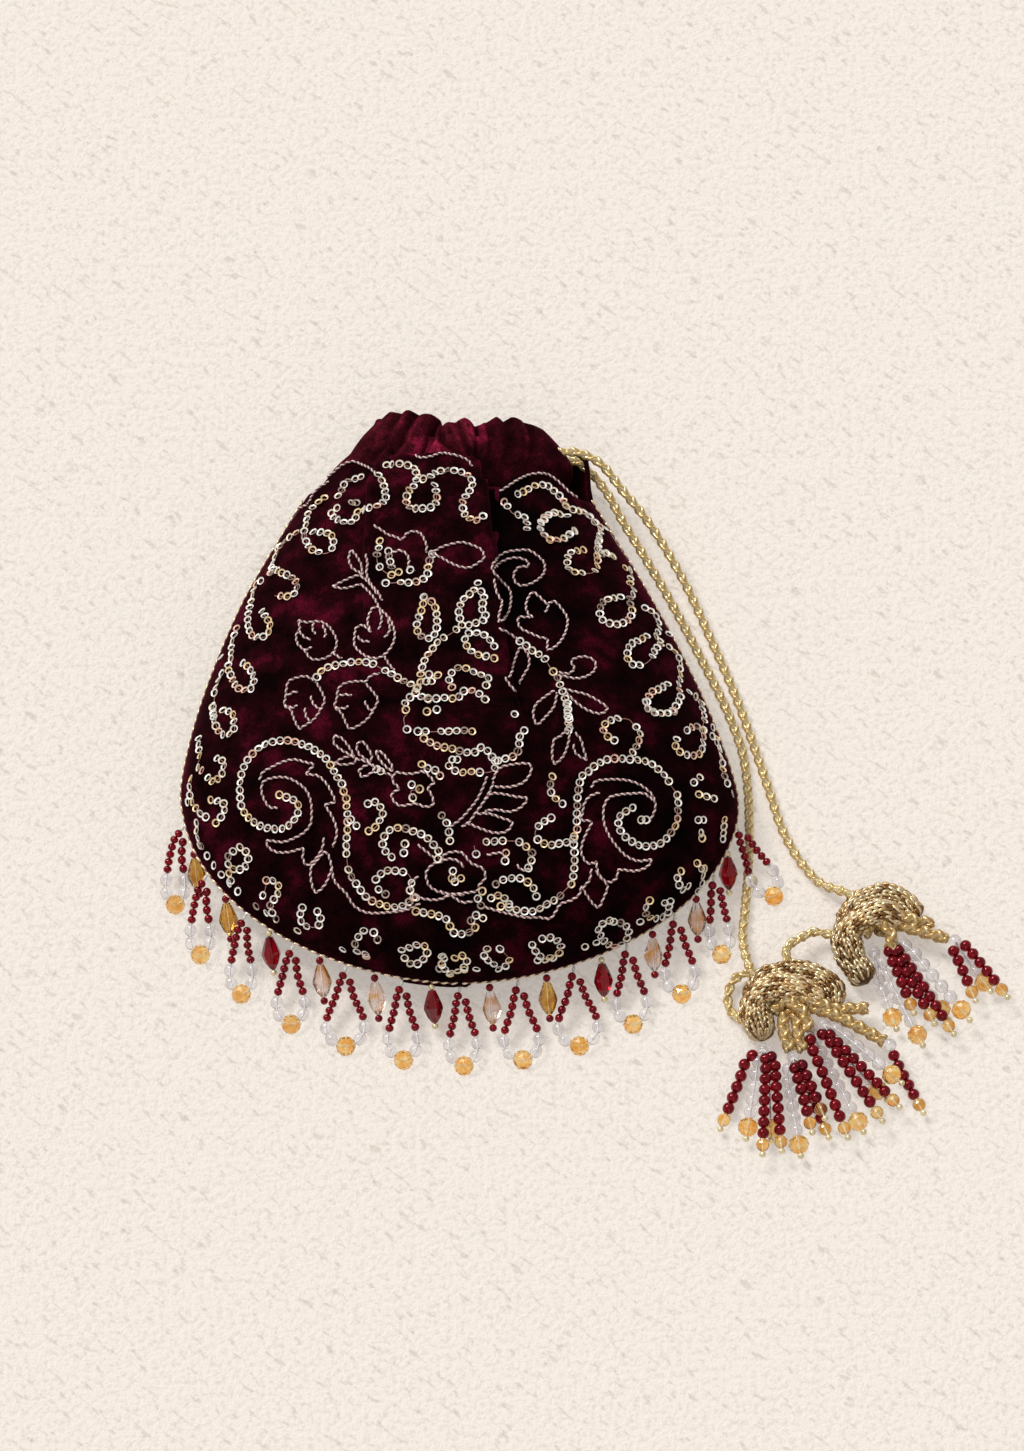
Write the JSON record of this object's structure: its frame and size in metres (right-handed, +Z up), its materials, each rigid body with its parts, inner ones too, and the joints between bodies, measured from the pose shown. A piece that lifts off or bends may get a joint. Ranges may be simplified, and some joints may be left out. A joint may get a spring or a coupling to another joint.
{
  "type": "potli bag",
  "caption": "Lined velvet drawstring pouch lying on its back, with a gathered neck, a beaded fringe along its lower seam and bead tassels on the ends of its braided cord.",
  "frame": {"origin": "middle of the flat patch of the back panel that rests on the ground, below the thickest part of the pouch", "axes": "+Z up from the ground through the front panel, +Y towards the neck, +X towards the side where the drawstring leaves the neck"},
  "size_m": [0.2902, 0.2695, 0.0502],
  "materials": {
    "velvet": "silk velvet pile, dark maroon",
    "lining": "plain woven lining",
    "gold_braid": "braided metallic yarn",
    "gold_knit": "knitted metallic tube",
    "maroon_glass": "polished glass beads",
    "amber_glass": "faceted glass drops",
    "ruby_glass": "faceted glass drops"
  },
  "bodies": {
    "root": {"front_panel": "velvet", "back_panel": "velvet", "neck_casing": "velvet", "lining": "lining", "drawstring_casing_run": "gold_braid", "drawstring_front": "gold_braid", "drawstring_rear": "gold_braid", "drawstring_bridge": "gold_braid", "tassel_front_braids": "gold_braid", "tassel_rear_braids": "gold_braid", "tassel_front_head": "gold_knit", "tassel_rear_head": "gold_knit", "fringe_loop_01": "maroon_glass", "fringe_loop_02": "maroon_glass", "fringe_loop_03": "maroon_glass", "fringe_loop_04": "maroon_glass", "fringe_loop_05": "maroon_glass", "fringe_loop_06": "maroon_glass", "fringe_loop_07": "maroon_glass", "fringe_loop_08": "maroon_glass", "fringe_loop_09": "maroon_glass", "fringe_loop_10": "maroon_glass", "fringe_loop_11": "maroon_glass", "fringe_loop_12": "maroon_glass", "fringe_loop_13": "maroon_glass", "tassel_front_cluster_1": "maroon_glass", "tassel_front_cluster_2": "maroon_glass", "tassel_front_cluster_3": "maroon_glass", "tassel_front_cluster_4": "maroon_glass", "tassel_front_cluster_5": "maroon_glass", "tassel_rear_cluster_1": "maroon_glass", "tassel_rear_cluster_2": "maroon_glass", "tassel_rear_cluster_3": "maroon_glass", "fringe_drop_01": "amber_glass", "fringe_drop_02": "amber_glass", "fringe_drop_03": "ruby_glass", "fringe_drop_04": "amber_glass", "fringe_drop_05": "amber_glass", "fringe_drop_06": "ruby_glass", "fringe_drop_07": "amber_glass", "fringe_drop_08": "amber_glass", "fringe_drop_09": "ruby_glass", "fringe_drop_10": "amber_glass", "fringe_drop_11": "amber_glass", "fringe_drop_12": "ruby_glass"}
  },
  "joints": []
}
